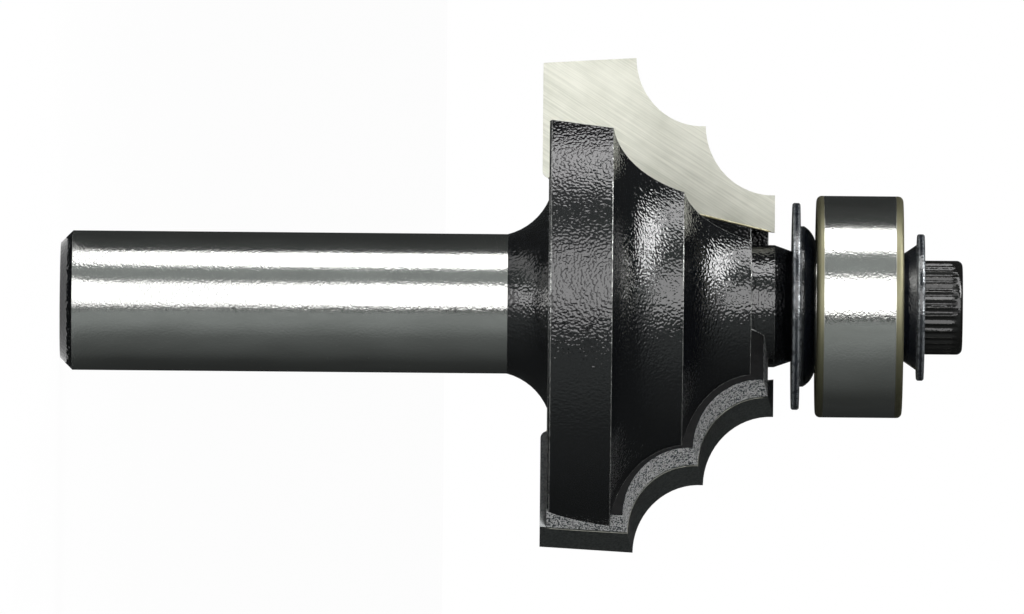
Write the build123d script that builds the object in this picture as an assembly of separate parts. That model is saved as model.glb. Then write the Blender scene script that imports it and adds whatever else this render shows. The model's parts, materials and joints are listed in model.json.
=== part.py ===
from build123d import *
import math
import os

# A piloted double cove router bit. It stands on the end of its shank, with its
# axis along Z and the guide bearing on top. Lengths are millimetres.

# Shank and the back of the head
shank_radius = 4.0
shank_length = 25.6
shank_end_chamfer = 0.7
flare_length = 2.34
flare_radius = 6.0
flare_hollow = 0.36

# Cutting outline: a straight land, then two quarter-round coves
cove_radius = 4.0
land_length = 4.95

# Steel of the head, which stands a little inside the cutting circle
body_inset = 0.9
body_cove_inset = 1.4
body_end_setback = 1.35
body_edge_chamfer = 0.12
core_radius = 3.5

# Carbide tips, their rake and their relief
tip_count = 2
tip_thickness = 1.6
tip_overhang = 0.38
tip_corner_radius = 0.4
shear_angle = 15.5
radial_relief_angle = 35.0
axial_relief_angle = 11.3
tip_back_width = 7.1
tip_front_width = 2.15
wing_thickness = 1.3

# Gullet in front of each tip, milled with a large round cutter
gullet_radius = 13.0
gullet_back_depth = 8.0
gullet_front_depth = 3.9
gullet_offset = 1.0

# Guide bearing
bearing_radius = 6.35
bearing_bore_radius = 2.381
bearing_width = 4.978
bearing_edge_radius = 0.3
bearing_edge_share = 0.4
inner_shoulder_inset = 0.9155
outer_shoulder_offset = 0.9345
shield_seat_step = 0.3
ring_chamfer = 0.15
ball_radius = 1.19
ball_count = 7
ball_clearance = 0.05
cage_wall = 0.85
cage_back_width = 1.5
cage_front_width = 0.5
shield_thickness = 0.2
shield_recess = 0.4
shield_gap = 0.1
snap_ring_wire = 0.25
snap_ring_width = 0.3
snap_ring_gap_angle = 24.0

# Stamped caps that shed dust each side of the bearing
rear_cap_sheet = 0.45
rear_cap_height = 1.37
rear_cap_overlap = 0.33
rear_cap_dome_radius = 4.6
rear_cap_face_radius = 3.4
front_cap_sheet = 0.43
front_cap_height = 1.24
front_cap_flange_radius = 4.2
front_cap_cone_radius = 3.6
front_cap_face_radius = 3.05
cap_edge_chamfer = 0.08

# Pilot stub and the screw that clamps the stack
neck_end_radius = 3.15
neck_showing = 1.0
stub_clearance = 0.011
stub_setback = 0.25
stub_chamfer = 0.2
screw_radius = 1.5
screw_length = 8.0
screw_clearance = 0.02
screw_hole_spare = 0.7
screw_end_chamfer = 0.3
cap_hole_clearance = 0.15
head_radius = 2.72
head_height = 3.0
head_crown = 0.5
head_edge_radius = 0.3
flute_count = 36
flute_depth = 0.12
socket_width = 2.5
socket_depth = 1.6

# Heights along the axis
body_back = shank_length + flare_length
land_end = body_back + land_length
cusp_height = land_end + cove_radius
cutting_end = cusp_height + cove_radius
body_end = cutting_end - body_end_setback
cap_back = cutting_end + neck_showing
bearing_back = cap_back + rear_cap_height
bearing_front = bearing_back + bearing_width
bearing_middle = bearing_back + bearing_width / 2
neck_end = bearing_back - rear_cap_sheet
stub_end = bearing_front - stub_setback
head_seat = bearing_front + front_cap_sheet
head_end = head_seat + head_height

# Radii of the cutting outline and of the head
cusp_radius = bearing_radius + cove_radius
cutting_radius = cusp_radius + cove_radius
body_radius = cutting_radius - body_inset
body_cove_radius = cove_radius + body_cove_inset
stub_radius = bearing_bore_radius - stub_clearance
pitch_radius = (bearing_bore_radius + bearing_radius) / 2
groove_radius = ball_radius + ball_clearance
inner_shoulder_radius = pitch_radius - inner_shoulder_inset
outer_shoulder_radius = pitch_radius + outer_shoulder_offset
shield_seat_radius = outer_shoulder_radius + shield_seat_step
rear_cap_flange_radius = shield_seat_radius + rear_cap_overlap
reach = 2 * cutting_radius


def turned(edges):
    """Revolve an outline of (radius, height) edges about the axis."""
    outline = make_face(Curve() + edges)
    return revolve(Plane.XZ * outline, Axis.Z)


def outline_edges(points):
    """Straight edges that join the points and close the outline."""
    closed = points + [points[0]]
    return [Line(start, end) for start, end in zip(closed[:-1], closed[1:])]


def turned_polygon(points):
    """Revolve a straight-sided outline about the axis."""
    return turned(outline_edges(points))


def arc_about(centre, radius, start, end):
    """The short arc of a circle between two points that lie on it."""
    middle = (Vector(*start) + Vector(*end)) * 0.5
    outward = (middle - Vector(*centre)).normalized()
    crown = Vector(*centre) + outward * radius
    return ThreePointArc(start, (crown.X, crown.Y), end)


def rake_offset(height):
    """How far the sheared rake face lies behind the axis at a height."""
    return math.tan(math.radians(shear_angle)) * (cutting_end - height)


def on_rake(side, height):
    """A point of the rake face, at a distance to the side of the axis."""
    return Vector(-side, rake_offset(height), height)


def on_cutting_circle(radius, height):
    """The point of the rake face that turns on the given radius."""
    offset = rake_offset(height)
    return on_rake(math.sqrt(radius ** 2 - offset ** 2), height)


def rake_slab(corners, depth, setback=0.0):
    """A block behind the rake face, or in front of it when depth is negative."""
    points = [on_rake(side, height) + Vector(0, setback, 0) for side, height in corners]
    face = make_face(Polyline(*points, close=True))
    return extrude(face, amount=abs(depth), dir=(0, math.copysign(1, depth), 0))


def cove_arc(start_radius, start_height, end_radius, end_height):
    """A quarter-round of the cutting edge, laid in the rake face."""
    middle_radius = start_radius - cove_radius * math.sin(math.radians(45))
    middle_height = end_height - cove_radius * math.cos(math.radians(45))
    start = on_cutting_circle(start_radius, start_height)
    middle = on_cutting_circle(middle_radius, middle_height)
    end = on_cutting_circle(end_radius, end_height)
    return ThreePointArc(start, middle, end)


def relieved_form():
    """The cutting outline carried back along the relief direction."""
    back = body_back - tip_overhang
    heel = on_rake(core_radius, back)
    toe = on_rake(core_radius, cutting_end)
    corner = on_cutting_circle(cutting_radius, back)
    land = on_cutting_circle(cutting_radius, land_end)
    tip = on_cutting_circle(bearing_radius, cutting_end)
    edges = [
        Line(heel, corner),
        Line(corner, land),
        cove_arc(cutting_radius, land_end, cusp_radius, cusp_height),
        cove_arc(cusp_radius, cusp_height, bearing_radius, cutting_end),
        Line(tip, toe),
        Line(toe, heel),
    ]
    face = make_face(Curve() + edges)
    radial = math.tan(math.radians(radial_relief_angle))
    axial = math.tan(math.radians(axial_relief_angle))
    direction = Vector(radial, 1, -axial)
    length = 1.5 * (tip_thickness + wing_thickness) * direction.length
    return extrude(face, amount=length, dir=direction.normalized())


def seat_side(height):
    """Distance of the tip's inner edge from the axis at a height."""
    back = cutting_radius - tip_back_width
    front = bearing_radius - tip_front_width
    share = (height - body_back) / (cutting_end - body_back)
    return back + (front - back) * share


def pocket(back, front):
    """The space of a tip, from its sloping inner edge outwards."""
    corners = [
        (seat_side(back), back),
        (seat_side(front), front),
        (reach, front),
        (reach, back),
    ]
    return rake_slab(corners, tip_thickness)


def carbide_tip():
    """One brazed tip, with its relief and a rounded inner heel."""
    back = body_back - tip_overhang
    tip = relieved_form() & pocket(back, cutting_end)
    heel = on_rake(seat_side(back), back)
    edge = tip.edges().sort_by_distance(heel + Vector(0, tip_thickness / 2, 0))[0]
    return fillet(edge, tip_corner_radius)


def wing():
    """The steel that backs a tip, ground with the tip's own relief."""
    corners = [(0, body_back), (reach, body_back), (reach, cutting_end), (0, cutting_end)]
    return relieved_form() & rake_slab(corners, wing_thickness, tip_thickness)


def gullet():
    """The round-bottomed space in front of a tip."""
    back = Vector(gullet_back_depth - cutting_radius, gullet_offset, body_back)
    front = Vector(gullet_front_depth - bearing_radius, gullet_offset, cutting_end)
    along = (front - back).normalized()
    outward = Vector(-along.Z, 0, along.X)
    centre = back + outward * gullet_radius
    plane = Plane(origin=centre, x_dir=(0, 1, 0), z_dir=along)
    cutter = plane * Cylinder(gullet_radius, 2 * reach)
    corners = [(-reach, 0), (reach, 0), (reach, 2 * reach), (-reach, 2 * reach)]
    return cutter & rake_slab(corners, -reach)


def around(solid, number):
    """The same thing at another tip's place."""
    return Rot(0, 0, 360 * number / tip_count) * solid


def head_blank():
    """Shank, flare and the double cove head, as they leave the lathe."""
    first_centre = (cutting_radius, cusp_height)
    second_centre = (cusp_radius, cutting_end)
    face_drop = math.sqrt(body_cove_radius ** 2 - body_inset ** 2)
    disc_end = cusp_height - face_drop
    half_gap = cove_radius / math.sqrt(2)
    ridge_drop = math.sqrt(body_cove_radius ** 2 - half_gap ** 2) / math.sqrt(2)
    ridge_radius = cusp_radius + cove_radius / 2 - ridge_drop
    ridge_height = cusp_height + cove_radius / 2 - ridge_drop
    end_drop = math.sqrt(body_cove_radius ** 2 - body_end_setback ** 2)
    end_radius = cusp_radius - end_drop
    chamfer_radius = body_radius - body_edge_chamfer
    shank_start = (shank_radius, shank_end_chamfer)
    shank_stop = (shank_radius, shank_length)
    flare_stop = (flare_radius, body_back)
    disc_stop = (body_radius, disc_end)
    ridge = (ridge_radius, ridge_height)
    nose = (end_radius, body_end)
    return turned([
        Line((0, 0), (shank_radius - shank_end_chamfer, 0)),
        Line((shank_radius - shank_end_chamfer, 0), shank_start),
        Line(shank_start, shank_stop),
        SagittaArc(shank_stop, flare_stop, flare_hollow),
        Line(flare_stop, (chamfer_radius, body_back)),
        Line((chamfer_radius, body_back), (body_radius, body_back + body_edge_chamfer)),
        Line((body_radius, body_back + body_edge_chamfer), disc_stop),
        arc_about(first_centre, body_cove_radius, disc_stop, ridge),
        arc_about(second_centre, body_cove_radius, ridge, nose),
        Line(nose, (0, body_end)),
        Line((0, body_end), (0, 0)),
    ])


def pilot():
    """The neck and the stub that carries the bearing."""
    return turned_polygon([
        (0, land_end),
        (core_radius, land_end),
        (core_radius, cutting_end),
        (neck_end_radius, cap_back),
        (neck_end_radius, neck_end),
        (stub_radius, neck_end),
        (stub_radius, stub_end - stub_chamfer),
        (stub_radius - stub_chamfer, stub_end),
        (0, stub_end),
    ])


def screw_hole():
    """The tapped hole, drawn at the thread's outer size."""
    bottom = head_seat - screw_length - screw_hole_spare
    radius = screw_radius + screw_clearance
    return turned_polygon([
        (0, bottom - radius / 2),
        (radius, bottom),
        (radius, stub_end),
        (0, stub_end),
    ])


def cutter_body():
    """The one-piece steel body, with a seat and a gullet for each tip."""
    body = head_blank()
    for number in range(tip_count):
        body = body + around(wing(), number)
    for number in range(tip_count):
        seat = pocket(body_back - reach, cutting_end + reach)
        body = body - around(gullet(), number) - around(seat, number)
    return body + pilot() - screw_hole()


def half_ring(bore, shoulder):
    """A bearing ring of plain section, before its groove is ground."""
    return turned_polygon([
        (bore, bearing_back + ring_chamfer),
        (bore + ring_chamfer, bearing_back),
        (shoulder, bearing_back),
        (shoulder, bearing_front),
        (bore + ring_chamfer, bearing_front),
        (bore, bearing_front - ring_chamfer),
    ])


def race_groove():
    """The ring of round section in which the balls run."""
    groove = Pos(pitch_radius, bearing_middle) * Circle(groove_radius)
    return revolve(Plane.XZ * groove, Axis.Z)


def inner_ring():
    return half_ring(bearing_bore_radius, inner_shoulder_radius) - race_groove()


def outer_ring():
    """The ring that rides on the work, with a shield seat at each end."""
    wall = bearing_radius - shield_seat_radius
    round_edge = min(bearing_edge_radius, bearing_edge_share * wall)
    seat = shield_recess + shield_thickness
    ring = turned_polygon([
        (shield_seat_radius, bearing_back),
        (bearing_radius, bearing_back),
        (bearing_radius, bearing_front),
        (shield_seat_radius, bearing_front),
        (shield_seat_radius, bearing_front - seat),
        (outer_shoulder_radius, bearing_front - seat),
        (outer_shoulder_radius, bearing_back + seat),
        (shield_seat_radius, bearing_back + seat),
    ])
    rims = ring.edges().filter_by(GeomType.CIRCLE)
    rims = [rim for rim in rims if abs(rim.radius - bearing_radius) < round_edge / 10]
    return fillet(rims, round_edge) - race_groove()


def ball_place(number):
    """Where a ball sits on the pitch circle."""
    return Rot(0, 0, 360 * number / ball_count) * Pos(pitch_radius, 0, bearing_middle)


def ball_set():
    balls = [ball_place(number) * Sphere(ball_radius) for number in range(ball_count)]
    return Compound(children=balls)


def cage():
    """A crown cage: a ring with a snap-in pocket round each ball."""
    inside = pitch_radius - cage_wall / 2
    outside = pitch_radius + cage_wall / 2
    crown = turned_polygon([
        (inside, bearing_middle - cage_back_width),
        (outside, bearing_middle - cage_back_width),
        (outside, bearing_middle + cage_front_width),
        (inside, bearing_middle + cage_front_width),
    ])
    for number in range(ball_count):
        crown = crown - ball_place(number) * Sphere(groove_radius)
    return crown


def shield(low):
    """A thin disc that closes one side of the bearing."""
    inside = inner_shoulder_radius + shield_gap
    return turned_polygon([
        (inside, low),
        (shield_seat_radius, low),
        (shield_seat_radius, low + shield_thickness),
        (inside, low + shield_thickness),
    ])


def snap_ring(low):
    """The split wire that holds a shield in its seat."""
    inside = shield_seat_radius - snap_ring_width
    ring = turned_polygon([
        (inside, low),
        (shield_seat_radius, low),
        (shield_seat_radius, low + snap_ring_wire),
        (inside, low + snap_ring_wire),
    ])
    gap = 2 * shield_seat_radius * math.tan(math.radians(snap_ring_gap_angle / 2))
    opening = Pos(shield_seat_radius, 0, low) * Box(shield_seat_radius, gap, reach)
    return ring - opening


def rear_cap():
    """A pressed hat whose crown bears on the inner ring."""
    back = cap_back
    front = bearing_back
    sheet = rear_cap_sheet
    edge = cap_edge_chamfer
    bore = stub_radius + screw_clearance
    inside = rear_cap_dome_radius - sheet
    flange_top = back + sheet
    shoulder = flange_top + sheet / 2
    return turned([
        Line((bore, front), (bore, front - sheet)),
        Line((bore, front - sheet), (rear_cap_face_radius, front - sheet)),
        SagittaArc((rear_cap_face_radius, front - sheet), (inside, back), sheet / 3),
        Line((inside, back), (rear_cap_flange_radius - edge, back)),
        Line((rear_cap_flange_radius - edge, back), (rear_cap_flange_radius, back + edge)),
        Line((rear_cap_flange_radius, back + edge), (rear_cap_flange_radius, flange_top - edge)),
        Line((rear_cap_flange_radius, flange_top - edge), (rear_cap_flange_radius - edge, flange_top)),
        Line((rear_cap_flange_radius - edge, flange_top), (rear_cap_dome_radius, flange_top)),
        Line((rear_cap_dome_radius, flange_top), (rear_cap_dome_radius, shoulder)),
        TangentArc((rear_cap_face_radius, front), (rear_cap_dome_radius, shoulder), tangent=(1, 0)),
        Line((rear_cap_face_radius, front), (bore, front)),
    ])


def front_cap():
    """A shallow cone with a rim, into which the screw's head sinks."""
    back = bearing_front
    front = back + front_cap_height
    sheet = front_cap_sheet
    edge = cap_edge_chamfer
    hole = screw_radius + cap_hole_clearance
    floor_radius = head_radius + screw_clearance
    return turned_polygon([
        (hole, back),
        (front_cap_face_radius, back),
        (front_cap_cone_radius, front - sheet),
        (front_cap_flange_radius - edge, front - sheet),
        (front_cap_flange_radius, front - sheet + edge),
        (front_cap_flange_radius, front - edge),
        (front_cap_flange_radius - edge, front),
        (front_cap_cone_radius - sheet, front),
        (floor_radius, back + sheet),
        (hole, back + sheet),
    ])


def fluted_disc(height):
    """A round bar whose side carries fine straight flutes."""
    points = []
    for number in range(flute_count):
        crest = math.radians(360 * number / flute_count)
        root = math.radians(360 * (number + 0.5) / flute_count)
        inner = head_radius - flute_depth
        points.append((head_radius * math.cos(crest), head_radius * math.sin(crest)))
        points.append((inner * math.cos(root), inner * math.sin(root)))
    return extrude(make_face(Polyline(*points, close=True)), amount=height)


def pilot_screw():
    """A socket cap screw with a fluted head."""
    tip = head_seat - screw_length
    crown_radius = head_radius - flute_depth
    shaft = turned_polygon([
        (0, tip),
        (screw_radius - screw_end_chamfer, tip),
        (screw_radius, tip + screw_end_chamfer),
        (screw_radius, head_seat),
        (crown_radius, head_seat),
        (crown_radius, head_end - head_edge_radius),
        (crown_radius - head_edge_radius, head_end),
        (0, head_end),
    ])
    flutes = Pos(0, 0, head_seat) * fluted_disc(head_height - head_crown)
    socket = extrude(RegularPolygon(socket_width / 2, 6, major_radius=False), amount=socket_depth)
    return shaft + flutes - Pos(0, 0, head_end - socket_depth) * socket


def write(name, solid):
    """Save one piece under its own name."""
    export_step(solid, "parts/" + name + ".step")


os.makedirs("parts", exist_ok=True)
rear_shield_low = bearing_back + shield_recess
front_shield_low = bearing_front - shield_recess - shield_thickness
rear_ring_low = rear_shield_low - snap_ring_wire
front_ring_low = front_shield_low + shield_thickness

write("cutter_body", cutter_body())
for tip_number in range(tip_count):
    write(f"carbide_tip_{tip_number + 1}", around(carbide_tip(), tip_number))
write("rear_dust_cap", rear_cap())
write("bearing_inner_ring", inner_ring())
write("bearing_outer_ring", outer_ring())
write("bearing_balls", ball_set())
write("bearing_cage", cage())
write("bearing_rear_shield", shield(rear_shield_low))
write("bearing_front_shield", shield(front_shield_low))
write("bearing_rear_snap_ring", snap_ring(rear_ring_low))
write("bearing_front_snap_ring", snap_ring(front_ring_low))
write("front_dust_cap", front_cap())
write("pilot_screw", pilot_screw())
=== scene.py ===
# %% [markdown]
# A piloted double cove router bit, dressed for the camera. The bit stands on the end
# of its shank with its axis along Z, and the camera lies on its side, so that the
# axis runs from left to right in the picture. Sizes in this file are millimetres and
# become metres only where a mesh or a light is made.

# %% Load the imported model
import json
import math

import bmesh
import bpy
import numpy as np
from mathutils import Matrix

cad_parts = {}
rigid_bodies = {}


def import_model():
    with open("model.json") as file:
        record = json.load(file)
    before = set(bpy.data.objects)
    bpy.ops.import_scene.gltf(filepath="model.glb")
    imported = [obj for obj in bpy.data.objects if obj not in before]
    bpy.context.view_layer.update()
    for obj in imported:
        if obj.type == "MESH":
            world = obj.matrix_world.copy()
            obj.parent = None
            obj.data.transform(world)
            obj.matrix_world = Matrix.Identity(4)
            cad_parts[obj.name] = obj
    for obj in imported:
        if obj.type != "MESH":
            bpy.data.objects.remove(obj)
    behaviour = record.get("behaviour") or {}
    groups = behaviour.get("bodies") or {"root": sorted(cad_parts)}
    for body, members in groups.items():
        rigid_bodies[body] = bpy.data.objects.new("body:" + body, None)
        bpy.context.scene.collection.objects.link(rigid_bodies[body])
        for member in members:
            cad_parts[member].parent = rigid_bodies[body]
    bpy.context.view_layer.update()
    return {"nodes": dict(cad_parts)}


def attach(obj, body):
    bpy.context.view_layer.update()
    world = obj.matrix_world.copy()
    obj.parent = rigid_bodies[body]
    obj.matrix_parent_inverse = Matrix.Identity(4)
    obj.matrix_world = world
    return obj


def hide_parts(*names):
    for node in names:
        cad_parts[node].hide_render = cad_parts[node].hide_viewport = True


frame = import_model()
nodes = frame["nodes"]
print("CAD nodes:", len(nodes))

# %% [markdown]
# The shapes made below have to meet the CAD pieces, so both scripts work from the same
# sizes. They are measured in the photograph against the guide bearing, whose width
# over its diameter is that of a common size.

# %% Driving sizes in millimetres, the same as in the CAD source
mm = 0.001
shank_length = 25.6
end_chamfer = 0.7
body_back = 27.94
land_end = 32.89
cusp_height = 36.89
cutting_end = 40.89
body_end = 39.54
cove_radius = 4.0
body_cove_radius = 5.4
body_radius = 13.45
cutting_radius = 14.35
cusp_radius = 10.35
bearing_radius = 6.35
bearing_back = 43.26
bearing_front = 48.238
core_radius = 3.5
tip_thickness = 1.6
tip_overhang = 0.38
tip_back_width = 7.1
tip_front_width = 2.15
shear = math.tan(math.radians(15.5))
relief_in = math.tan(math.radians(35.0))
relief_back = math.tan(math.radians(11.3))
print("cutting circle in mm:", 2 * cutting_radius)

# %% [markdown]
# The camera is a long lens level with the bit, so the picture is almost free of
# perspective. Its own X axis runs along the bit, turned by half a degree, because the
# bit lies that little bit askew in the photograph.

# %% Camera
view_width = 58.68
view_centre = np.array([0.167, 0.0, 25.87])
camera_distance = 1400.0
tilt = math.radians(0.51)
camera_data = bpy.data.cameras.new("camera")
camera_data.sensor_width = 36.0
camera_data.lens = camera_data.sensor_width * camera_distance / view_width
camera_data.clip_start = 0.05
camera_data.clip_end = 20.0
camera = bpy.data.objects.new("camera", camera_data)
bpy.context.scene.collection.objects.link(camera)
bpy.context.scene.camera = camera
along = np.array([0.0, 0.0, 1.0])
upward = np.array([-1.0, 0.0, 0.0])
camera_x = math.cos(tilt) * along + math.sin(tilt) * upward
camera_y = math.cos(tilt) * upward - math.sin(tilt) * along
camera_z = np.cross(camera_x, camera_y)
stand = np.eye(4)
stand[:3, 0] = camera_x
stand[:3, 1] = camera_y
stand[:3, 2] = camera_z
stand[:3, 3] = (view_centre + camera_z * camera_distance) * mm
camera.matrix_world = Matrix(stand.tolist())
print("focal length in mm:", round(camera_data.lens, 1))

# %% [markdown]
# Every material below is built from the same few words: a colour written as it is
# seen on a screen, a node added with its settings and its links, and a fresh
# material whose Object coordinates are already turned into millimetres, so that a
# pattern can be given the size it has on the real surface.

# %% Material helpers
def linear(hex_text):
    """Turn an sRGB hex colour into the linear values that a shader mixes."""
    values = np.array([int(hex_text[i : i + 2], 16) for i in (0, 2, 4)]) / 255.0
    low = values / 12.92
    high = ((values + 0.055) / 1.055) ** 2.4
    mixed = np.where(values <= 0.04045, low, high)
    return tuple(mixed.tolist()) + (1.0,)


def add(tree, kind, links=None, **settings):
    """Add a node, set its properties, and fill or link the inputs that are named."""
    node = tree.nodes.new(kind)
    for name, value in settings.items():
        setattr(node, name, value)
    for name, value in (links or {}).items():
        if isinstance(value, bpy.types.NodeSocket):
            tree.links.new(value, node.inputs[name])
        else:
            node.inputs[name].default_value = value
    return node


def fresh(name, **shader_inputs):
    """A new material: itself, its tree, its shader and its place in millimetres."""
    material = bpy.data.materials.new(name)
    material.use_nodes = True
    tree = material.node_tree
    shader = next(n for n in tree.nodes if n.type == "BSDF_PRINCIPLED")
    for socket, value in shader_inputs.items():
        shader.inputs[socket.replace("_", " ")].default_value = value
    coordinates = add(tree, "ShaderNodeTexCoord")
    place = add(
        tree,
        "ShaderNodeVectorMath",
        {0: coordinates.outputs["Object"], 1: (1000.0, 1000.0, 1000.0)},
        operation="MULTIPLY",
    )
    return material, tree, shader, place.outputs[0]


def stretched(tree, place, factors):
    """The same place, with each axis scaled so that a pattern gets longer or shorter."""
    return add(
        tree, "ShaderNodeVectorMath", {0: place, 1: factors}, operation="MULTIPLY"
    ).outputs[0]


def noise(tree, place, size, detail=2.0, roughness=0.5):
    """Cloudy noise whose patches are about size millimetres across."""
    links = {"Vector": place, "Scale": 1.0 / size, "Detail": detail, "Roughness": roughness}
    return add(tree, "ShaderNodeTexNoise", links).outputs[0]


def between(tree, value, low, high, start, end):
    """Carry a value from one range to another, held at both ends."""
    links = {"Value": value, "From Min": low, "From Max": high, "To Min": start, "To Max": end}
    return add(tree, "ShaderNodeMapRange", links).outputs[0]


def blended(tree, share, first, second):
    """Mix two colours, given as hex text or as sockets, by a share from 0 to 1."""
    first = linear(first) if isinstance(first, str) else first
    second = linear(second) if isinstance(second, str) else second
    return add(tree, "ShaderNodeMix", {0: share, 6: first, 7: second}, data_type="RGBA").outputs[2]


def bump(tree, height, depth, under=None):
    """Surface relief of the given depth in millimetres, over other relief if there is any."""
    links = {"Height": height, "Distance": depth * mm, "Strength": 1.0}
    if under is not None:
        links["Normal"] = under
    return add(tree, "ShaderNodeBump", links).outputs[0]


def edge_wear(tree, radius, flat=0.995, sharp=0.92):
    """How near a point is to an edge, from 0 to 1, and the normal of an edge rounded off.
    The cosine between that normal and the true one is flat on a face and sharp at an edge."""
    rounded = add(tree, "ShaderNodeBevel", {"Radius": radius * mm}, samples=6).outputs[0]
    geometry = add(tree, "ShaderNodeNewGeometry")
    links = {0: rounded, 1: geometry.outputs["Normal"]}
    same = add(tree, "ShaderNodeVectorMath", links, operation="DOT_PRODUCT").outputs["Value"]
    return between(tree, same, flat, sharp, 0.0, 1.0), rounded


def tone_by(tree, shader, pattern, dark, light, low=0.35, high=0.65):
    """Colour a surface by a pattern, dark where it is low and light where it is high."""
    share = between(tree, pattern, low, high, 0.0, 1.0)
    tree.links.new(blended(tree, share, dark, light), shader.inputs["Base Color"])


def rough_by(tree, shader, pattern, start, end, low=0.3, high=0.7):
    """Let a pattern carry the roughness from start, where it is low, to end."""
    tree.links.new(between(tree, pattern, low, high, start, end), shader.inputs["Roughness"])


print("middle grey in linear light:", round(linear("808080")[0], 3))

# %% [markdown]
# The room is white and stands on white paper. The camera, and anything that mirrors
# or lets through, sees it as plain white. For the light that falls on matt surfaces
# it is a middle grey, so that a white background doesn't wash the object out.

# %% White room and paper floor
bpy.context.scene.view_settings.view_transform = "Standard"


def seen_directly(tree):
    """1 for rays from the camera, from a mirror or through glass, else 0."""
    path = add(tree, "ShaderNodeLightPath")
    kinds = ["Is Camera Ray", "Is Glossy Ray", "Is Transmission Ray"]
    value = path.outputs[kinds[0]]
    for kind in kinds[1:]:
        links = {0: value, 1: path.outputs[kind]}
        value = add(tree, "ShaderNodeMath", links, operation="MAXIMUM").outputs[0]
    return value


world = bpy.data.worlds.new("white_room")
world.use_nodes = True
bpy.context.scene.world = world
background = next(n for n in world.node_tree.nodes if n.type == "BACKGROUND")
room = blended(world.node_tree, seen_directly(world.node_tree), "8C8C8C", "FFFFFF")
world.node_tree.links.new(room, background.inputs["Color"])

floor_half = 8000.0
floor_mesh = bpy.data.meshes.new("floor")
corners = np.array([[-1, -1, 0], [1, -1, 0], [1, 1, 0], [-1, 1, 0]]) * floor_half * mm
floor_mesh.from_pydata(corners.tolist(), [], [(0, 1, 2, 3)])
floor = bpy.data.objects.new("floor", floor_mesh)
bpy.context.scene.collection.objects.link(floor)
paper = bpy.data.materials.new("white_paper")
paper.use_nodes = True
paper_tree = paper.node_tree
paper_shader = next(n for n in paper_tree.nodes if n.type == "BSDF_PRINCIPLED")
paper_shader.inputs["Base Color"].default_value = linear("FAFAFA")
paper_shader.inputs["Roughness"].default_value = 0.9
paper_glow = add(paper_tree, "ShaderNodeEmission", {"Strength": 1.0})
# Seen directly, the paper is nearly all its own white, and the rest keeps the shadow.
own_white = 0.97
paper_share = between(paper_tree, seen_directly(paper_tree), 0.0, 1.0, 0.0, own_white)
paper_mix = add(
    paper_tree,
    "ShaderNodeMixShader",
    {0: paper_share, 1: paper_shader.outputs[0], 2: paper_glow.outputs[0]},
)
paper_out = next(n for n in paper_tree.nodes if n.type == "OUTPUT_MATERIAL")
paper_tree.links.new(paper_mix.outputs[0], paper_out.inputs[0])
floor_mesh.materials.append(paper)
print("floor in mm:", 2 * floor_half)

# %% [markdown]
# The bit is set in a small light tent. One long soft box stands above the line of
# sight and another in front, both parallel to the bit, so that each turned surface
# shows two long bright bands, and a small strong one overhead lights the hollows.
# The camera doesn't see the lamps themselves.

# %% Soft boxes
tent_middle = 26.0
lamp_reach_down = 60.0
energy_for_brightness = 4.0


def soft_box(name, angle, rise, distance, width, length, brightness):
    """An area lamp that faces the axis. The angle is counted from the camera's side
    towards the top of the picture, rise is how steeply it looks down, and brightness
    is that of its own surface."""
    data = bpy.data.lights.new(name, "AREA")
    data.shape = "RECTANGLE"
    data.size = width * mm
    data.size_y = length * mm
    data.energy = energy_for_brightness * brightness * data.size * data.size_y
    lamp = bpy.data.objects.new(name, data)
    bpy.context.scene.collection.objects.link(lamp)
    turn = math.radians(angle)
    lift = math.radians(rise)
    level = np.array([-math.sin(turn), -math.cos(turn), 0.0])
    upright = np.array([0.0, 0.0, 1.0])
    outward = math.cos(lift) * level + math.sin(lift) * upright
    pose = np.eye(4)
    pose[:3, 0] = np.cross(upright, level)
    pose[:3, 1] = np.cross(outward, pose[:3, 0])
    pose[:3, 2] = outward
    height = tent_middle + length / 2 - lamp_reach_down
    middle = outward * distance + height * upright
    pose[:3, 3] = middle * mm
    lamp.matrix_world = Matrix(pose.tolist())
    lamp.visible_camera = False
    return lamp


soft_box(
    "soft_box_above", angle=74.5, rise=0.0, distance=300.0, width=144.0, length=700.0, brightness=2.6
)
soft_box(
    "soft_box_in_front", angle=12.0, rise=0.0, distance=300.0, width=194.0, length=900.0, brightness=1.6
)
soft_box(
    "soft_box_overhead", angle=80.0, rise=62.0, distance=420.0, width=170.0, length=190.0, brightness=5.5
)
print("lamps:", len(bpy.data.lights))

# %% [markdown]
# Polished metal has no colour of its own to show, only what stands round it. Grey
# cards close the rest of the tent and give it the dark it needs. White cards lie on
# the floor below the two long lamps and carry their bands into faces that look down,
# such as the flare. Only reflections see the cards: the camera doesn't, and they send
# no light to matt surfaces.

# %% Cards
card_columns = 61
card_distance = 330.0
inner_edge = 6.5
grey_lift = 0.3
white_lift = 0.4
roof_height = 560.0
roof_opening = 15.0
cool_white = "F4FCFA"
plain_white = "FFFFFF"
closed_path = [
    [inner_edge, grey_lift],
    [card_distance, grey_lift],
    [card_distance, roof_height],
    [roof_opening, roof_height],
]
flat_path = [[inner_edge, white_lift], [card_distance, white_lift]]
near_path = [[inner_edge, 0.5], [30.0, 0.5]]
foot_path = [[3.7, 0.2], [inner_edge, 0.2]]


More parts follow.
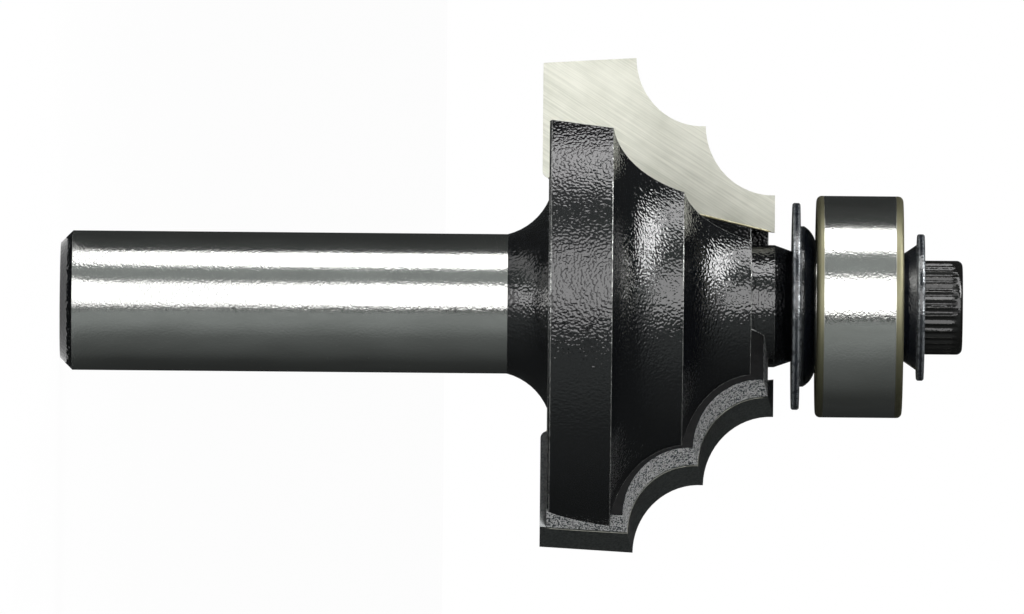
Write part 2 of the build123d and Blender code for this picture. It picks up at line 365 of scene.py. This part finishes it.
def tent_card(name, path, angles, shades, tint=cool_white):
    """A card bent about the axis: each point is its distance times (-sin a, -cos a) at
    its height, with a in degrees and distance and height from the path. Its brightness
    is given at a few angles and changes evenly between them."""
    path = np.array(path)
    wide = len(path)
    degrees = np.linspace(angles[0], angles[-1], card_columns)
    turn = np.radians(degrees)[:, None]
    sideways = -path[:, 0] * np.sin(turn)
    outwards = -path[:, 0] * np.cos(turn)
    points = np.stack([sideways, outwards, path[:, 1] + 0.0 * turn], -1)
    row, column = np.meshgrid(np.arange(card_columns - 1), np.arange(wide - 1), indexing="ij")
    first = (wide * row + column).ravel()
    faces = np.stack([first, first + 1, first + wide + 1, first + wide], -1)
    mesh = bpy.data.meshes.new(name)
    mesh.from_pydata((points.reshape(-1, 3) * mm).tolist(), [], faces.tolist())
    shade = np.interp(degrees, angles, shades).repeat(wide)
    mesh.attributes.new("shade", "FLOAT", "POINT").data.foreach_set("value", shade)
    card = bpy.data.objects.new(name, mesh)
    bpy.context.scene.collection.objects.link(card)
    card.visible_camera = False
    card.visible_diffuse = False
    card.visible_shadow = False
    material = bpy.data.materials.new(name)
    material.use_nodes = True
    tree = material.node_tree
    shader = next(n for n in tree.nodes if n.type == "BSDF_PRINCIPLED")
    tree.nodes.remove(shader)
    reading = add(tree, "ShaderNodeAttribute", attribute_name="shade")
    glow = add(tree, "ShaderNodeEmission", {"Color": linear(tint), "Strength": reading.outputs["Fac"]})
    out = next(n for n in tree.nodes if n.type == "OUTPUT_MATERIAL")
    tree.links.new(glow.outputs[0], out.inputs[0])
    mesh.materials.append(material)
    return card


below_angles = [-180.0, -115.0, -93.0, -60.0, -34.0, -14.0]
below_shades = [0.02, 0.045, 0.085, 0.14, 0.30, 0.32]
tent_card("card_below", closed_path, below_angles, below_shades)
tent_card("card_dark_edge", closed_path, [-14.0, -7.0], [0.05, 0.05])
tent_card("card_between", closed_path, [31.0, 60.5], [0.33, 0.33])
tent_card("card_beyond", closed_path, [88.0, 130.0, 180.0], [0.08, 0.05, 0.03])
tent_card("card_on_floor_in_front", flat_path, [-10.0, 31.0], [1.15, 1.15], plain_white)
tent_card("card_on_floor_above", flat_path, [60.5, 88.0], [1.15, 1.15], plain_white)
tent_card("card_near_foot", near_path, [2.0, 28.0], [3.5, 3.5], plain_white)
tent_card("card_round_foot", foot_path, [-180.0, 180.0], [0.03, 0.03])

# %% [markdown]
# The shank is tool steel, hardened and then ground between wheels. That leaves a
# bright metal with a fine grain: the edges of each reflected band break up into
# specks, and faint lines run round it. The real scratches are too fine to show, so the
# grain is drawn as coarse as it needs to be, about an eighth of a millimetre.

# %% Ground steel
ground_grain = {"roughness": 0.14, "grain": 0.13, "depth": 0.009}


def ground_steel(name, light, dark, roughness, grain, depth):
    """Ground metal: a cloudy tone, a grain that breaks up reflections, and lines round it."""
    material, tree, shader, place = fresh(name, Metallic=1.0)
    cloud = noise(tree, stretched(tree, place, (1.0, 1.0, 0.35)), size=1.6, detail=3.0)
    tone_by(tree, shader, cloud, dark, light)
    fine = noise(tree, place, size=grain, detail=2.0)
    lines = noise(tree, stretched(tree, place, (0.4, 0.4, 16.0)), size=1.0, detail=2.0)
    rough_by(tree, shader, fine, roughness * 0.8, roughness * 1.2)
    relief = bump(tree, lines, depth * 0.08)
    tree.links.new(bump(tree, fine, depth, relief), shader.inputs["Normal"])
    return material


shank_steel = ground_steel("ground_tool_steel", "D2D2CF", "C6C6C3", **ground_grain)
print(shank_steel.name)

# %% [markdown]
# The head is turned from the same bar and left with a black oxide coat, a dense iron
# oxide that is darker than paint yet shinier, so its highlights are strong. Under the
# coat the blasted and turned surface is grainy, and those grains sparkle. They are
# drawn a little coarser than they are. Where two faces meet, handling has rubbed the
# coat thin and the edge shows as a fine pale line.

# %% Black coated steel
def black_coat(name, coat, worn, ior, grain, depth, rings, wear_radius):
    """Oxide over metal: grains of one size and depth, rings from turning, and bare metal
    within the wear radius of an edge, more of it where a cloudy pattern is high."""
    material, tree, shader, place = fresh(name, Metallic=0.0, IOR=ior)
    near_edge, rounded = edge_wear(tree, wear_radius)
    patchy = noise(tree, place, size=0.35, detail=3.0)
    rubbed = between(tree, patchy, 0.4, 0.6, 0.15, 1.0)
    wear = add(tree, "ShaderNodeMath", {0: near_edge, 1: rubbed}, operation="MULTIPLY").outputs[0]
    tree.links.new(blended(tree, wear, coat, worn), shader.inputs["Base Color"])
    tree.links.new(between(tree, wear, 0.0, 1.0, 0.0, 0.9), shader.inputs["Metallic"])
    fine = noise(tree, place, size=grain, detail=0.5)
    rough_by(tree, shader, fine, 0.07, 0.13, low=0.35, high=0.65)
    turned = noise(tree, stretched(tree, place, (0.25, 0.25, 6.0)), size=1.0, detail=2.0)
    relief = bump(tree, turned, rings, rounded)
    tree.links.new(bump(tree, fine, depth, relief), shader.inputs["Normal"])
    return material


head_coat = black_coat(
    "black_oxide_on_turned_steel",
    coat="0A0B0D",
    worn="D8DAD6",
    ior=1.75,
    grain=0.15,
    depth=0.036,
    rings=0.006,
    wear_radius=0.10,
)
print(head_coat.name)

# %% [markdown]
# Behind each tip the steel is ground back with the same relief as the carbide. The
# wheel cuts through the coat and leaves bare, coarse ground steel, which looks like
# crumpled foil at this size: every facet catches the light on its own. Its colour runs
# from dark grey to white flecks, and the white flecks are painted glints on top of the
# real facets of its relief. The band is drawn half matt, which keeps it as evenly pale
# as the real one looks. The flat back of each wing is taken to keep a dull scale from
# the heat of brazing.

# %% Bare relief band and burnt scale
def bare_band(name, light, dark):
    """Coarse ground steel: one grain gives its facets, its roughness and white flecks of painted glint."""
    material, tree, shader, place = fresh(name, Metallic=0.5)
    coarse = noise(tree, place, size=0.11, detail=1.0, roughness=0.6)
    # Dark grey with white flecks: the white flecks are painted glints.
    tone_by(tree, shader, coarse, dark, light, low=0.43, high=0.58)
    rough_by(tree, shader, coarse, 0.4, 0.22)
    tree.links.new(bump(tree, coarse, depth=0.045), shader.inputs["Normal"])
    return material


def burnt_scale(name, light, dark):
    """A matt oxide crust with a cloudy tone."""
    material, tree, shader, place = fresh(name, Metallic=0.0, IOR=1.3)
    cloud = noise(tree, place, size=0.3, detail=3.0)
    tone_by(tree, shader, cloud, dark, light)
    rough_by(tree, shader, cloud, 0.6, 0.75)
    tree.links.new(bump(tree, cloud, depth=0.02), shader.inputs["Normal"])
    return material


scale_coat = burnt_scale("brazing_scale_on_steel", "0C0C0D", "070708")
# The bare relief band, with painted glints as white flecks in its colour.
band_steel_painted_glints = bare_band("bare_ground_relief_painted_glints", "FFFFFF", "4A5053")
print(scale_coat.name, band_steel_painted_glints.name)

# %% [markdown]
# The tips are tungsten carbide, a grey sintered metal that only a diamond wheel can
# cut. The rake face is ground flat and lapped, and keeps fine parallel lines from the
# wheel, which slant across it by about thirty-five degrees and are drawn wider than
# they are, so that they show. Lapping leaves it satin, and it is drawn partly matt, so
# that it looks pale and hardly mirrors the black head. The relief faces are ground
# more coarsely and look darker.

# %% Carbide
def lapped_carbide(name, light, dark, slant):
    """Lapped metal: long narrow noise, turned by the slant, added to a cloudy tone."""
    material, tree, shader, place = fresh(name, Metallic=0.4)
    rotation = (0.0, math.radians(slant), 0.0)
    turned = add(tree, "ShaderNodeMapping", {"Vector": place, "Rotation": rotation}).outputs[0]
    lines = noise(tree, stretched(tree, turned, (12.0, 1.0, 0.10)), size=1.0, detail=1.0)
    cloud = noise(tree, place, size=2.2, detail=3.0)
    both = add(tree, "ShaderNodeMath", {0: lines, 1: cloud}, operation="ADD").outputs[0]
    tone_by(tree, shader, both, dark, light, low=0.75, high=1.25)
    rough_by(tree, shader, lines, 0.38, 0.46)
    tree.links.new(bump(tree, lines, depth=0.002), shader.inputs["Normal"])
    return material


def relief_carbide(name, light, dark):
    """Ground metal: one fine grain gives its tone, its roughness and its relief."""
    material, tree, shader, place = fresh(name, Metallic=1.0)
    grain = noise(tree, place, size=0.12, detail=3.0)
    tone_by(tree, shader, grain, dark, light)
    rough_by(tree, shader, grain, 0.32, 0.42)
    tree.links.new(bump(tree, grain, depth=0.006), shader.inputs["Normal"])
    return material


rake_finish = lapped_carbide("lapped_tungsten_carbide", "EFEFE2", "D6D7C9", slant=-32.0)
relief_finish = relief_carbide("ground_tungsten_carbide", "9A9C9C", "7E8080")
print(rake_finish.name, relief_finish.name)

# %% [markdown]
# A silver braze joins tip to steel. It wets the seam and freezes as a thin, pale
# golden bead. Along the relief, which is ground last, the wheel takes the bead down
# and leaves a greyish line, fine as a hair.

# %% Braze
def braze_metal(name, light, dark):
    """Frozen braze: a cloudy tone and a slightly uneven surface."""
    material, tree, shader, place = fresh(name, Metallic=1.0, Roughness=0.3)
    cloud = noise(tree, place, size=0.4, detail=3.0)
    tone_by(tree, shader, cloud, dark, light)
    tree.links.new(bump(tree, cloud, depth=0.02), shader.inputs["Normal"])
    return material


braze = braze_metal("silver_braze", "D8D2B4", "A39A76")
seam_braze = braze_metal("silver_braze_ground_flush", "A8A89E", "74746C")
print(braze.name, seam_braze.name)

# %% [markdown]
# The outer ring of the bearing is ground like the shank. Its two rounded edges get a
# painted reflection of dull gold, and are drawn a little rougher there. The caps that
# shed dust are pressed from thin sheet and blued, so they are a dark blue grey with
# pale rims. The cap screw is black oxide, oily and a little browner. Shields and snap
# rings are bright spring steel, and the balls are polished chrome steel.

# %% Bearing, cap and screw finishes
# The painted gold reflection on the ring's rounded edges: where it starts and where it is full, in
# millimetres in from each end, and how much rougher it makes them.
painted_gold_start = 0.47
painted_gold_full = 0.40
painted_gold_roughness = 0.36


def bearing_race(name, light, dark, painted_gold):
    """Ground ring: near each end of its width, its two rounded edges get a painted gold reflection."""
    material = ground_steel(name, light, dark, **ground_grain)
    tree = material.node_tree
    shader = next(n for n in tree.nodes if n.type == "BSDF_PRINCIPLED")
    plain = shader.inputs["Base Color"].links[0].from_socket
    coordinates = next(n for n in tree.nodes if n.type == "TEX_COORD")
    height = add(tree, "ShaderNodeSeparateXYZ", {0: coordinates.outputs["Object"]}).outputs[2]
    middle = (bearing_back + bearing_front) / 2 * mm
    away = add(tree, "ShaderNodeMath", {0: height, 1: middle}, operation="SUBTRACT").outputs[0]
    away = add(tree, "ShaderNodeMath", {0: away}, operation="ABSOLUTE").outputs[0]
    half = (bearing_front - bearing_back) / 2 * mm
    # A painted gold reflection near each end of the ring.
    share = between(tree, away, half - painted_gold_start * mm, half - painted_gold_full * mm, 0.0, 1.0)
    tree.links.new(blended(tree, share, plain, painted_gold), shader.inputs["Base Color"])
    smooth = shader.inputs["Roughness"].links[0].from_socket
    duller = add(tree, "ShaderNodeMath", {0: share, 1: painted_gold_roughness, 2: smooth}, operation="MULTIPLY_ADD")
    tree.links.new(duller.outputs[0], shader.inputs["Roughness"])
    return material


cap_finish = black_coat(
    "blued_sheet_steel",
    coat="10141C",
    worn="E4EAEE",
    ior=1.7,
    grain=0.12,
    depth=0.020,
    rings=0.001,
    wear_radius=0.2,
)
screw_finish = black_coat(
    "black_oxide_on_alloy_steel",
    coat="100F0E",
    worn="8A8884",
    ior=1.55,
    grain=0.12,
    depth=0.012,
    rings=0.001,
    wear_radius=0.05,
)
# 85826A is the painted gold reflection on the ring's rounded edges.
race_finish = bearing_race("ground_bearing_steel", "D2D2CF", "C6C6C2", "85826A")
inner_finish = ground_steel("ground_inner_race", "D6D4CE", "C4C2BB", 0.2, 0.2, 0.003)
ball_finish = ground_steel("polished_chrome_steel", "DCDCDA", "D2D2D0", 0.08, 0.3, 0.001)
sheet_finish = ground_steel("bright_spring_steel", "C9C9C5", "B4B4B0", 0.3, 0.15, 0.004)
print("finishes:", len(bpy.data.materials))

# %% [markdown]
# The body and the tips come from the CAD model, because their shapes are the result
# of real cuts: seats, gullets and relief. A copy of each mesh is merged, so that it
# shades smoothly, and its faces are sorted by where they lie and which way they look
# into the finishes that the workshop gave them.

# %% Copy and sort helpers
join_distance = 0.0005


def merged_copy(node, name, sharp_angle=28.0):
    """A smooth-shaded copy of a CAD node, with the points of its triangles joined."""
    source = nodes[node].data
    points = np.zeros(len(source.vertices) * 3)
    corners = np.zeros(len(source.loops), np.int32)
    source.vertices.foreach_get("co", points)
    source.loops.foreach_get("vertex_index", corners)
    mesh = bpy.data.meshes.new(name)
    mesh.from_pydata(points.reshape(-1, 3).tolist(), [], corners.reshape(-1, 3).tolist())
    work = bmesh.new()
    work.from_mesh(mesh)
    bmesh.ops.remove_doubles(work, verts=work.verts, dist=join_distance * mm)
    work.to_mesh(mesh)
    work.free()
    mesh.shade_smooth()
    mesh.set_sharp_from_angle(angle=math.radians(sharp_angle))
    piece = bpy.data.objects.new(name, mesh)
    bpy.context.scene.collection.objects.link(piece)
    return piece


def face_table(mesh):
    """Centres in millimetres and normals of all faces, as arrays."""
    count = len(mesh.polygons)
    centres = np.zeros(count * 3)
    normals = np.zeros(count * 3)
    mesh.polygons.foreach_get("center", centres)
    mesh.polygons.foreach_get("normal", normals)
    return centres.reshape(-1, 3) / mm, normals.reshape(-1, 3)


def sharpen_borders(mesh, index):
    """Make an edge sharp where the two faces beside it have different finishes."""
    edge_of_corner = np.zeros(len(mesh.loops), np.int64)
    mesh.loops.foreach_get("edge_index", edge_of_corner)
    face_of_corner = np.repeat(np.arange(len(mesh.polygons)), 3)
    value = index[face_of_corner]
    # Both start outside the range of finishes, so that the first face always counts.
    lowest = np.full(len(mesh.edges), 99)
    highest = np.full(len(mesh.edges), -1)
    np.minimum.at(lowest, edge_of_corner, value)
    np.maximum.at(highest, edge_of_corner, value)
    sharp = np.zeros(len(mesh.edges), bool)
    mesh.attributes["sharp_edge"].data.foreach_get("value", sharp)
    mesh.attributes["sharp_edge"].data.foreach_set("value", sharp | (lowest != highest))


def give_finishes(piece, materials, index):
    """Put the materials on a piece, with one index for each face."""
    for material in materials:
        piece.data.materials.append(material)
    piece.data.polygons.foreach_set("material_index", index.astype(np.int32))
    sharpen_borders(piece.data, index)
    print(piece.name, "faces per finish:", np.bincount(index, minlength=len(materials)))


print("CAD triangles of the body:", len(nodes["cutter_body"].data.polygons))

# %% [markdown]
# The faces of the body are told apart by sums. Those of the turned head lie on its
# profile. Those of the relief stand out from it and hold the direction of the relief,
# and the flat backs of the wings stand out and look to the rear.

# %% The one-piece steel body
ridge_drop = 3.25
band_proud = 0.05
rear_proud = 0.02
facing_limit = 0.99
along_limit = 0.03
chamfer_slack = 0.01
half_turn = np.array([-1.0, -1.0, 1.0])


def head_profile(height):
    """Radius of the turned head: a straight band, then two hollows of one radius."""
    square = body_cove_radius**2
    first = cutting_radius - np.sqrt(np.maximum(square - (height - cusp_height) ** 2, 0.0))
    second = cusp_radius - np.sqrt(np.maximum(square - (height - cutting_end) ** 2, 0.0))
    ridge = cusp_height + cove_radius / 2 - ridge_drop
    band_end = cusp_height - math.sqrt(square - (cutting_radius - body_radius) ** 2)
    radius = np.where(height < ridge, first, second)
    radius = np.where(height < band_end, body_radius, radius)
    return np.where(height > body_end, core_radius, radius)


def looking(centres, normals, way):
    """Share of each normal along a way, which is turned by half a turn for one tooth."""
    return np.where(centres[:, 0] < 0, normals @ way, normals @ (way * half_turn))


body = merged_copy("cutter_body", "cutter_body_finished", 16.0)
centres, normals = face_table(body.data)
proud = np.hypot(centres[:, 0], centres[:, 1]) - head_profile(centres[:, 2])
relief_way = np.array([relief_in, 1.0, -relief_back])
relief_way = relief_way / np.linalg.norm(relief_way)
rear_way = np.array([0.0, 1.0, shear]) / math.hypot(1.0, shear)
along_relief = np.abs(looking(centres, normals, relief_way)) < along_limit
to_rear = looking(centres, normals, rear_way) > facing_limit
on_shank = centres[:, 2] < shank_length
on_end = centres[:, 2] < end_chamfer + chamfer_slack
on_band = (proud > band_proud) & along_relief & (centres[:, 2] > body_back)
on_rear = (proud > rear_proud) & to_rear & ~on_shank
finish_index = np.where(on_shank & ~on_end, 0, np.where(on_band, 2, np.where(on_rear, 3, 1)))
give_finishes(body, [shank_steel, head_coat, band_steel_painted_glints, scale_coat], finish_index)
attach(body, "bit")
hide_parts("cutter_body")

# %% [markdown]
# Each tip is one CAD solid with two finishes. The face that looks along the normal of
# the rake is lapped, and the others are ground.

# %% The carbide tips
tip_turns = ((1, 1.0), (2, -1.0))
rake_normal = np.array([0.0, -1.0, -shear])
rake_normal = rake_normal / np.linalg.norm(rake_normal)
for number, turn in tip_turns:
    tip = merged_copy(f"carbide_tip_{number}", f"carbide_tip_{number}_finished")
    centres, normals = face_table(tip.data)
    facing = normals @ (rake_normal * np.array([turn, turn, 1.0]))
    give_finishes(tip, [relief_finish, rake_finish], (facing > facing_limit).astype(int))
    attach(tip, "bit")
    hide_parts(f"carbide_tip_{number}")

# %% [markdown]
# A seam of braze is a thin bead. Its path is worked out from the same formulas as the
# cutting outline, and a small round section is carried along it.

# %% Beads of braze
pole_distance = 0.0001
seam_radius = 0.02
bead_radius = 0.06


def grid_mesh(name, points):
    """A closed surface from a grid of points in millimetres, rows by columns. The
    columns close on themselves, and the first and last row are drawn to a point."""
    rows, columns = points.shape[:2]
    i, j = np.meshgrid(np.arange(rows - 1), np.arange(columns), indexing="ij")
    k = (j + 1) % columns
    this_row = i * columns
    next_row = this_row + columns
    faces = np.stack([this_row + j, this_row + k, next_row + k, next_row + j], -1)
    mesh = bpy.data.meshes.new(name)
    mesh.from_pydata((points.reshape(-1, 3) * mm).tolist(), [], faces.reshape(-1, 4).tolist())
    work = bmesh.new()
    work.from_mesh(mesh)
    bmesh.ops.remove_doubles(work, verts=work.verts, dist=pole_distance * mm)
    bmesh.ops.recalc_face_normals(work, faces=work.faces)
    work.to_mesh(mesh)
    work.free()
    mesh.shade_smooth()
    piece = bpy.data.objects.new(name, mesh)
    bpy.context.scene.collection.objects.link(piece)
    return piece


def bead(name, path, radius, sides=10):
    """A round section carried along a path: each point is the path's point plus radius
    times (cos a across + sin a up), and both ends shrink to the path itself."""
    step = np.gradient(path, axis=0)
    step = step / np.linalg.norm(step, axis=1, keepdims=True)
    # Any direction does that the path never follows.
    guide = np.array([0.31, 0.87, 0.38])
    across = np.cross(step, guide)
    across = across / np.linalg.norm(across, axis=1, keepdims=True)
    up = np.cross(step, across)
    angle = np.linspace(0.0, 2 * math.pi, sides, endpoint=False)
    size = np.full(len(path), radius)
    size[[0, -1]] = 0.0
    ring = np.cos(angle)[None, :, None] * across[:, None] + np.sin(angle)[None, :, None] * up[:, None]
    return grid_mesh(name, path[:, None] + size[:, None, None] * ring)


def rake_points(side, height):
    """Points of the first tip's rake face at distances to the side of the axis."""
    return np.stack([-side, shear * (cutting_end - height), height], -1)


def cutting_outline(land_count=12, round_count=20):
    """Radius and height along the cutting edge: the straight land, then two quarter
    rounds, each a centre less 4 mm times the sine and the cosine of an angle."""
    land_heights = np.linspace(body_back - tip_overhang, land_end, land_count)
    parts = [np.stack([np.full(land_count, cutting_radius), land_heights], -1)]
    turn = np.linspace(0.0, math.pi / 2, round_count)[1:]
    for radius, height in ((cutting_radius, cusp_height), (cusp_radius, cutting_end)):
        parts.append(np.stack([radius - cove_radius * np.sin(turn), height - cove_radius * np.cos(turn)], -1))
    return np.concatenate(parts)


def seat_edge(height):
    """Distance of the tip's inner edge from the axis, which falls evenly with height."""
    back = cutting_radius - tip_back_width
    front = bearing_radius - tip_front_width
    return back + (front - back) * (height - body_back) / (cutting_end - body_back)


seam_start = body_back - tip_overhang + 0.02
outline = cutting_outline()
offset = shear * (cutting_end - outline[:, 1])
edge = rake_points(np.sqrt(outline[:, 0] ** 2 - offset**2), outline[:, 1])
seam = edge + tip_thickness * np.array([relief_in, 1.0, -relief_back])
seam = seam[seam[:, 2] > seam_start]
heights = np.linspace(body_back, cutting_end, 30)
inner = rake_points(seat_edge(heights), heights)
drop = np.linspace(tip_thickness, 0.0, 6)[:-1]
heel = inner[0] + drop[:, None] * np.array([0.0, 1.0, 0.0])
for number, turn in tip_turns:
    side = np.array([turn, turn, 1.0])
    for label, path, radius, metal in (
        ("outer", seam, seam_radius, seam_braze),
        ("inner", np.concatenate([heel, inner]), bead_radius, braze),
    ):
        line = bead(f"braze_{label}_{number}", path * side, radius)
        line.data.materials.append(metal)
        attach(line, "bit")
edge_length = np.linalg.norm(np.diff(edge, axis=0), axis=1).sum()
print("length of one cutting edge in mm:", round(float(edge_length), 1))

# %% [markdown]
# The cap screw is one turned surface. A profile runs from the tip of its thread to
# the middle of its socket, and each step of that profile is swept round the axis with
# its own shape: a single-start thread, a knurled head, and a hexagon for the socket.

# %% The cap screw
around_count = 288
screw_radius = 1.5
screw_length = 8.0
screw_taper = 0.3
neck_length = 0.4
thread_pitch = 0.5
thread_depth = 0.28
groove_top = 1.15
groove_slope = 2.6
head_seat = bearing_front + 0.43
head_end = head_seat + 3.0
head_radius = 2.72
head_inset = 0.03
head_round = 0.34
flute_count = 36
flute_depth = 0.10
flute_shape = 0.7
rim_width = 0.16
rim_depth = 0.12
socket_half = 1.25
socket_depth = 1.6
socket_point = 0.35


def thread_rows(angle, foot):
    """Radius and height of the thread: the radius falls and rises with the distance to a
    helix of one pitch, and the first turn tapers in."""
    heights = np.linspace(foot, head_seat - neck_length, 190)[:, None]
    phase = ((heights - foot) / thread_pitch - angle / (2 * math.pi)) % 1.0
    groove = np.clip(groove_top - groove_slope * np.abs(phase - 0.5), 0.0, 1.0)
    taper = np.clip((heights - foot) / screw_taper, 0.0, 1.0)
    return screw_radius - thread_depth * groove - screw_taper * (1.0 - taper), heights


def head_rows(angle):
    """Radius and height of the head's side: the flutes follow the cosine of 36 angles
    and fade away towards its seat and its rounded edge."""
    heights = np.linspace(head_seat + 0.05, head_end - head_round, 26)[:, None]
    fade_out = np.clip((head_end - 0.25 - heights) / 0.35, 0.0, 1.0)
    fade_in = np.clip((heights - head_seat) / 0.15, 0.0, 1.0)
    fade = fade_out * fade_in
    flutes = (0.5 - 0.5 * np.cos(flute_count * angle)) ** flute_shape
    return head_radius - head_inset - flute_depth * fade * flutes, heights


def screw_surface():
    """Points at radius(row, angle) and height(row), from the tip up to the head, over its
    rounded edge and down the socket, whose radius is its half width over the cosine to
    the nearest flat."""
    angle = np.linspace(0.0, 2 * math.pi, around_count, endpoint=False)[None, :]
    foot = head_seat - screw_length
    point = np.zeros((1, 1))
    neck = np.array([[screw_radius, head_seat - 0.38], [screw_radius, head_seat]])
    under = np.array([[2.4, head_seat], [2.55, head_seat + 0.03]])
    turn = np.linspace(0.0, math.pi / 2, 9)[1:, None]
    round_radius = head_radius - head_inset - head_round + head_round * np.cos(turn)
    round_height = head_end - head_round + head_round * np.sin(turn)
    hexagon = socket_half / np.cos((angle + math.pi / 6) % (math.pi / 3) - math.pi / 6)
    rim = np.full((1, 1), head_end)
    rows = [
        (point, point + foot),
        thread_rows(angle, foot),
        (neck[:, :1], neck[:, 1:]),
        (under[:, :1], under[:, 1:]),
        head_rows(angle),
        (round_radius, round_height),
        (hexagon + rim_width, rim),
        (hexagon, rim - rim_depth),
        (hexagon, rim - socket_depth),
        (point, rim - socket_depth - socket_point),
    ]
    radius = np.concatenate([np.broadcast_to(r, (len(r), around_count)) for r, _ in rows])
    height = np.concatenate([np.broadcast_to(h, (len(h), around_count)) for _, h in rows])
    return np.stack([radius * np.cos(angle), radius * np.sin(angle), height], -1)


screw = grid_mesh("pilot_screw_finished", screw_surface())
screw.data.set_sharp_from_angle(angle=math.radians(40.0))
screw.data.materials.append(screw_finish)
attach(screw, "bit")
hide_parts("pilot_screw")
print("screw faces:", len(screw.data.polygons))

# %% [markdown]
# The bearing and the two caps are plain rings, so their CAD meshes need only smooth
# shading and a finish. What turns with the outer ring rides on it, and the balls ride
# with their cage.

# %% The rest of the stack
stack = {
    "rear_dust_cap": (cap_finish, "bit"),
    "front_dust_cap": (cap_finish, "bit"),
    "bearing_inner_ring": (inner_finish, "bit"),
    "bearing_outer_ring": (race_finish, "guide_ring"),
    "bearing_rear_shield": (sheet_finish, "guide_ring"),
    "bearing_front_shield": (sheet_finish, "guide_ring"),
    "bearing_rear_snap_ring": (sheet_finish, "guide_ring"),
    "bearing_front_snap_ring": (sheet_finish, "guide_ring"),
    "bearing_cage": (sheet_finish, "ball_cage"),
    "bearing_balls": (ball_finish, "ball_cage"),
}
for node, (material, rider) in stack.items():
    piece = merged_copy(node, node + "_finished", 38.0)
    piece.data.materials.append(material)
    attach(piece, rider)
    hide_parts(node)
